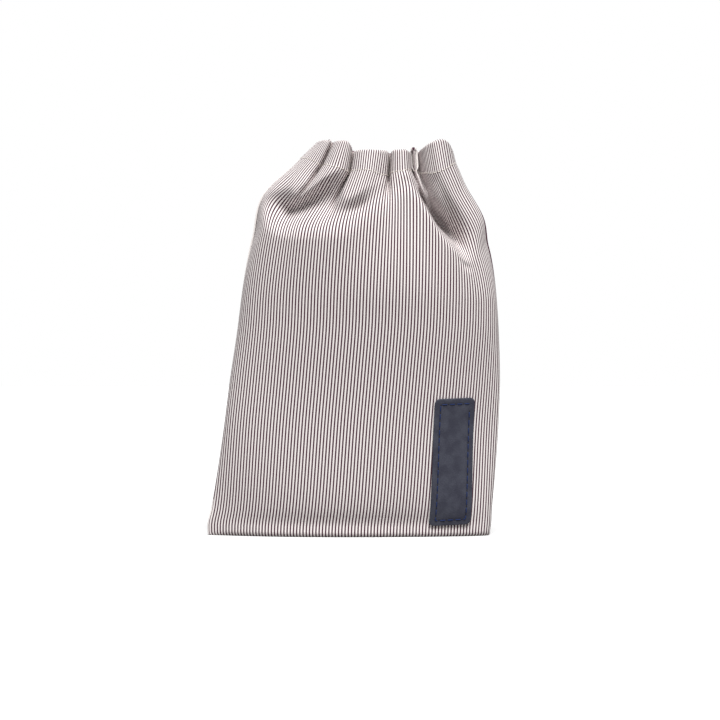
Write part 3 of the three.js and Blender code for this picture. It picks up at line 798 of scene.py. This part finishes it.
PATCH_WIDTH = 21.0
PATCH_HEIGHT = 63.0
PATCH_THICKNESS = 1.3
PATCH_CORNER_RADIUS = 2.6
PATCH_GAP = 0.1
PATCH_CENTRE_ACROSS = 121.75
PATCH_CENTRE_HEIGHT = 37.2
PATCH_LEAN = 0.0356
PATCH_EDGE_ROUND = 0.45
PATCH_EDGE_STEPS = 4
PATCH_LOOP_POINTS = 168
GROOVE_DEPTH = 0.16
GROOVE_LIP = 0.02
WALL_STEP = 1.5
STITCH_INSET = 2.9
STITCH_PITCH = 3.95
STITCH_LENGTH = 3.3
STITCH_LIFT = 0.08
STITCH_DIP = 0.35
PATCH_THREAD_RADIUS = 0.28
HOLE_LENGTH = 0.55
HOLE_SINK = 0.12
HOLE_START = 3.35
HOLE_RADIUS = 0.3


def wall_seat(x, y):
    """Points of the front wall under points of the patch, and outward normals there."""
    across = PATCH_CENTRE_ACROSS + x * math.cos(PATCH_LEAN) - y * math.sin(PATCH_LEAN)
    height = PATCH_CENTRE_HEIGHT + x * math.sin(PATCH_LEAN) + y * math.cos(PATCH_LEAN)
    seat, normal = np.zeros((len(x), 3)), np.zeros((len(x), 3))
    for k in range(len(x)):
        near = np.array([across[k] - WALL_STEP, across[k], across[k] + WALL_STEP]) / STRIPE_REPEAT
        middle = body_row(-1, near, height[k])
        above = body_row(-1, near[1:2], height[k] + WALL_STEP)[0]
        below = body_row(-1, near[1:2], height[k] - WALL_STEP)[0]
        out = np.cross(middle[2] - middle[0], above - below)
        seat[k] = middle[1]
        normal[k] = out / np.linalg.norm(out)
    return seat, normal


def rounded_outline(inset, steps=8):
    """Rounded rectangle of the patch, moved inwards, as points from its middle."""
    half_w, half_h = PATCH_WIDTH / 2 - inset, PATCH_HEIGHT / 2 - inset
    radius = max(PATCH_CORNER_RADIUS - inset, 0.4)
    points = []
    for sx, sy, first in ((1, 1, 0), (-1, 1, 90), (-1, -1, 180), (1, -1, 270)):
        for k in range(steps + 1):
            angle = math.radians(first + 90 * k / steps)
            points.append((
                sx * (half_w - radius) + radius * math.cos(angle),
                sy * (half_h - radius) + radius * math.sin(angle),
            ))
    return np.array(points)


def even_loop(points, count):
    """The same closed outline with points at even distances."""
    closed = np.vstack([points, points[:1]])
    along = np.concatenate([[0], np.cumsum(np.linalg.norm(np.diff(closed, axis=0), axis=1))])
    at = np.linspace(0, along[-1], count, endpoint=False)
    return np.stack([np.interp(at, along, closed[:, 0]), np.interp(at, along, closed[:, 1])], axis=1)


def patch_profile():
    """Insets and heights from the back face round the edge, over the stitch groove to the front."""
    profile = [(3.0, 0.0), (0.5, 0.0), (0.06, 0.2)]
    for k in range(PATCH_EDGE_STEPS + 1):
        angle = math.pi / 2 * k / PATCH_EDGE_STEPS
        profile.append((
            PATCH_EDGE_ROUND * (1 - math.cos(angle)),
            PATCH_THICKNESS - PATCH_EDGE_ROUND * (1 - math.sin(angle)),
        ))
    profile.append((1.3, PATCH_THICKNESS))
    profile.append((2.5, PATCH_THICKNESS - GROOVE_LIP))
    profile.append((STITCH_INSET, PATCH_THICKNESS - GROOVE_DEPTH))
    profile.append((3.3, PATCH_THICKNESS - GROOVE_LIP))
    profile.append((4.2, PATCH_THICKNESS))
    return profile


def patch_mesh():
    """The patch as closed loops of its profile, bent over the wall under it."""
    count = PATCH_LOOP_POINTS
    rings, heights = [], []
    for inset, height in patch_profile():
        rings.append(even_loop(rounded_outline(inset), count))
        heights.append(height)
    inner = rings[-1]
    for share in (0.75, 0.5, 0.25):
        rings.append(np.stack([inner[:, 0] * share, inner[:, 1] * (0.55 + 0.45 * share)], axis=1))
        heights.append(PATCH_THICKNESS)
    vertices, faces = [], []
    for ring, height in zip(rings, heights):
        seat, normal = wall_seat(ring[:, 0], ring[:, 1])
        vertices += list(seat + normal * (PATCH_GAP + height))
    for k in range(len(rings) - 1):
        for j in range(count):
            a, b = k * count + j, k * count + (j + 1) % count
            faces.append([a, b, b + count, a + count])
    faces.append(list(range(count))[::-1])
    faces.append(list(range((len(rings) - 1) * count, len(rings) * count)))
    mesh = bpy.data.meshes.new("leather_patch_piece")
    mesh.from_pydata(to_frame(vertices).tolist(), [], faces)
    mesh.polygons.foreach_set("use_smooth", [True] * len(faces))
    mesh.materials.append(patch_leather())
    piece = bpy.data.objects.new("leather_patch_piece", mesh)
    bpy.context.scene.collection.objects.link(piece)
    return piece


patch = patch_mesh()
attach(patch, "root")
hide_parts("leather_patch")

stitch_loop = even_loop(rounded_outline(STITCH_INSET), 2 * PATCH_LOOP_POINTS)
loop_seat, loop_normal = wall_seat(stitch_loop[:, 0], stitch_loop[:, 1])
loop_seat = loop_seat + loop_normal * (PATCH_GAP + PATCH_THICKNESS)
loop_seat = np.vstack([loop_seat, loop_seat[:1]])
loop_normal = np.vstack([loop_normal, loop_normal[:1]])
patch_lines = stitch_lines(loop_seat, loop_normal, STITCH_PITCH, STITCH_LENGTH, STITCH_LIFT, STITCH_DIP)
navy_thread = thread("navy_thread", NAVY_THREAD)
patch_stitches = stitches_mesh("patch_stitches", patch_lines, PATCH_THREAD_RADIUS, navy_thread)
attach(patch_stitches, "root")
# Near-black tubes set a little into the stitch line, one for each needle hole: painted shade of the holes
hole_lines = stitch_lines(
    loop_seat,
    loop_normal,
    STITCH_PITCH,
    HOLE_LENGTH,
    -HOLE_SINK,
    0.0,
    start=HOLE_START,
)
needle_holes = stitches_mesh("needle_holes", hole_lines, HOLE_RADIUS, hole_shade_material())
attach(needle_holes, "root")


# Elastic band in the casing

ELASTIC_LOW = 0.34
ELASTIC_HIGH = 0.9
ELASTIC_GAP = 0.4
ELASTIC_THICKNESS = 0.6


def elastic_piece():
    """A flat band round the neck between the wall and the hem."""
    sections = []
    for side, grid, row in ((-1, front_grid, front_stitch), (1, back_grid, back_stitch)):
        low, top = grid[row], grid[row + CASING_ROWS]
        inward = grid[row + CASING_ROWS + FOLD_ROWS] - top
        inward /= np.linalg.norm(inward, axis=1, keepdims=True)
        near = CLOTH_THICKNESS + ELASTIC_GAP
        far = near + ELASTIC_THICKNESS
        ring = []
        corners = ((ELASTIC_LOW, near), (ELASTIC_HIGH, near), (ELASTIC_HIGH, far), (ELASTIC_LOW, far))
        for share, depth in corners:
            ring.append(lerp(low, top, share) + inward * depth)
        ring = np.array(ring).transpose(1, 0, 2)
        sections.append(ring[2:-2:2] if side < 0 else ring[::-1][2:-2:2])
    sections = np.concatenate(sections)
    count = len(sections)
    faces = []
    for i in range(count):
        following = (i + 1) % count
        for k in range(4):
            after = (k + 1) % 4
            faces.append([i * 4 + k, following * 4 + k, following * 4 + after, i * 4 + after])
    mesh = bpy.data.meshes.new("elastic_band")
    mesh.from_pydata(to_frame(sections.reshape(-1, 3)).tolist(), [], faces)
    mesh.materials.append(elastic_braid())
    piece = bpy.data.objects.new("elastic_band", mesh)
    bpy.context.scene.collection.objects.link(piece)
    return piece


elastic = elastic_piece()
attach(elastic, "root")
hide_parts("gathering_elastic")


# Floor, light and camera

FLOOR_SEEN = (0.76, 0.76, 0.76, 1)
FLOOR_BOUNCE = (0.3, 0.3, 0.3, 1)
WHITE = (1, 1, 1, 1)
WORLD_FILL = 0.2


def floor_material():
    """Bright to the camera, less bright to the light that bounces off it."""
    s = Shader("white_floor")
    seen = s.node("ShaderNodeLightPath").outputs["Is Camera Ray"]
    colour = s.mix(seen, FLOOR_BOUNCE, FLOOR_SEEN)
    surface = s.node("ShaderNodeBsdfDiffuse", {"Color": colour})
    return s.finish(surface.outputs["BSDF"])


bpy.ops.mesh.primitive_plane_add(size=12, location=(0, 0, 0))
floor = bpy.context.object
floor.name = "floor"
floor.data.materials.append(floor_material())

world = bpy.data.worlds.new("studio")
bpy.context.scene.world = world
world.use_nodes = True
tree = world.node_tree
tree.nodes.clear()
seen = tree.nodes.new("ShaderNodeLightPath")
around = tree.nodes.new("ShaderNodeBackground")
around.inputs["Color"].default_value = WHITE
around.inputs["Strength"].default_value = WORLD_FILL
behind = tree.nodes.new("ShaderNodeBackground")
behind.inputs["Color"].default_value = WHITE
behind.inputs["Strength"].default_value = 1.0
either = tree.nodes.new("ShaderNodeMixShader")
world_out = tree.nodes.new("ShaderNodeOutputWorld")
tree.links.new(seen.outputs["Is Camera Ray"], either.inputs["Fac"])
tree.links.new(around.outputs["Background"], either.inputs[1])
tree.links.new(behind.outputs["Background"], either.inputs[2])
tree.links.new(either.outputs["Shader"], world_out.inputs["Surface"])


def sun_lamp(name, elevation, azimuth, spread, strength):
    """Soft light from a direction; azimuth 0 comes from the front and 90 from the right."""
    lamp = bpy.data.lights.new(name, "SUN")
    lamp.energy = strength
    lamp.angle = math.radians(spread)
    held = bpy.data.objects.new(name, lamp)
    held.rotation_euler = (math.radians(90 - elevation), 0, math.radians(azimuth))
    bpy.context.scene.collection.objects.link(held)


sun_lamp("softbox_top", elevation=61, azimuth=10, spread=34, strength=4.25)
sun_lamp("softbox_back", elevation=30, azimuth=200, spread=50, strength=1.6)

camera_data = bpy.data.cameras.new("camera")
camera_data.lens = 110
camera_data.sensor_width = 36
camera = bpy.data.objects.new("camera", camera_data)
camera.location = ((EYE_ACROSS + SHIFT_X) * MM, -EYE_DISTANCE * MM, EYE_HEIGHT * MM)
camera.rotation_euler = (math.pi / 2, 0, 0)
bpy.context.scene.collection.objects.link(camera)
bpy.context.scene.camera = camera
bpy.context.scene.view_settings.view_transform = "Standard"
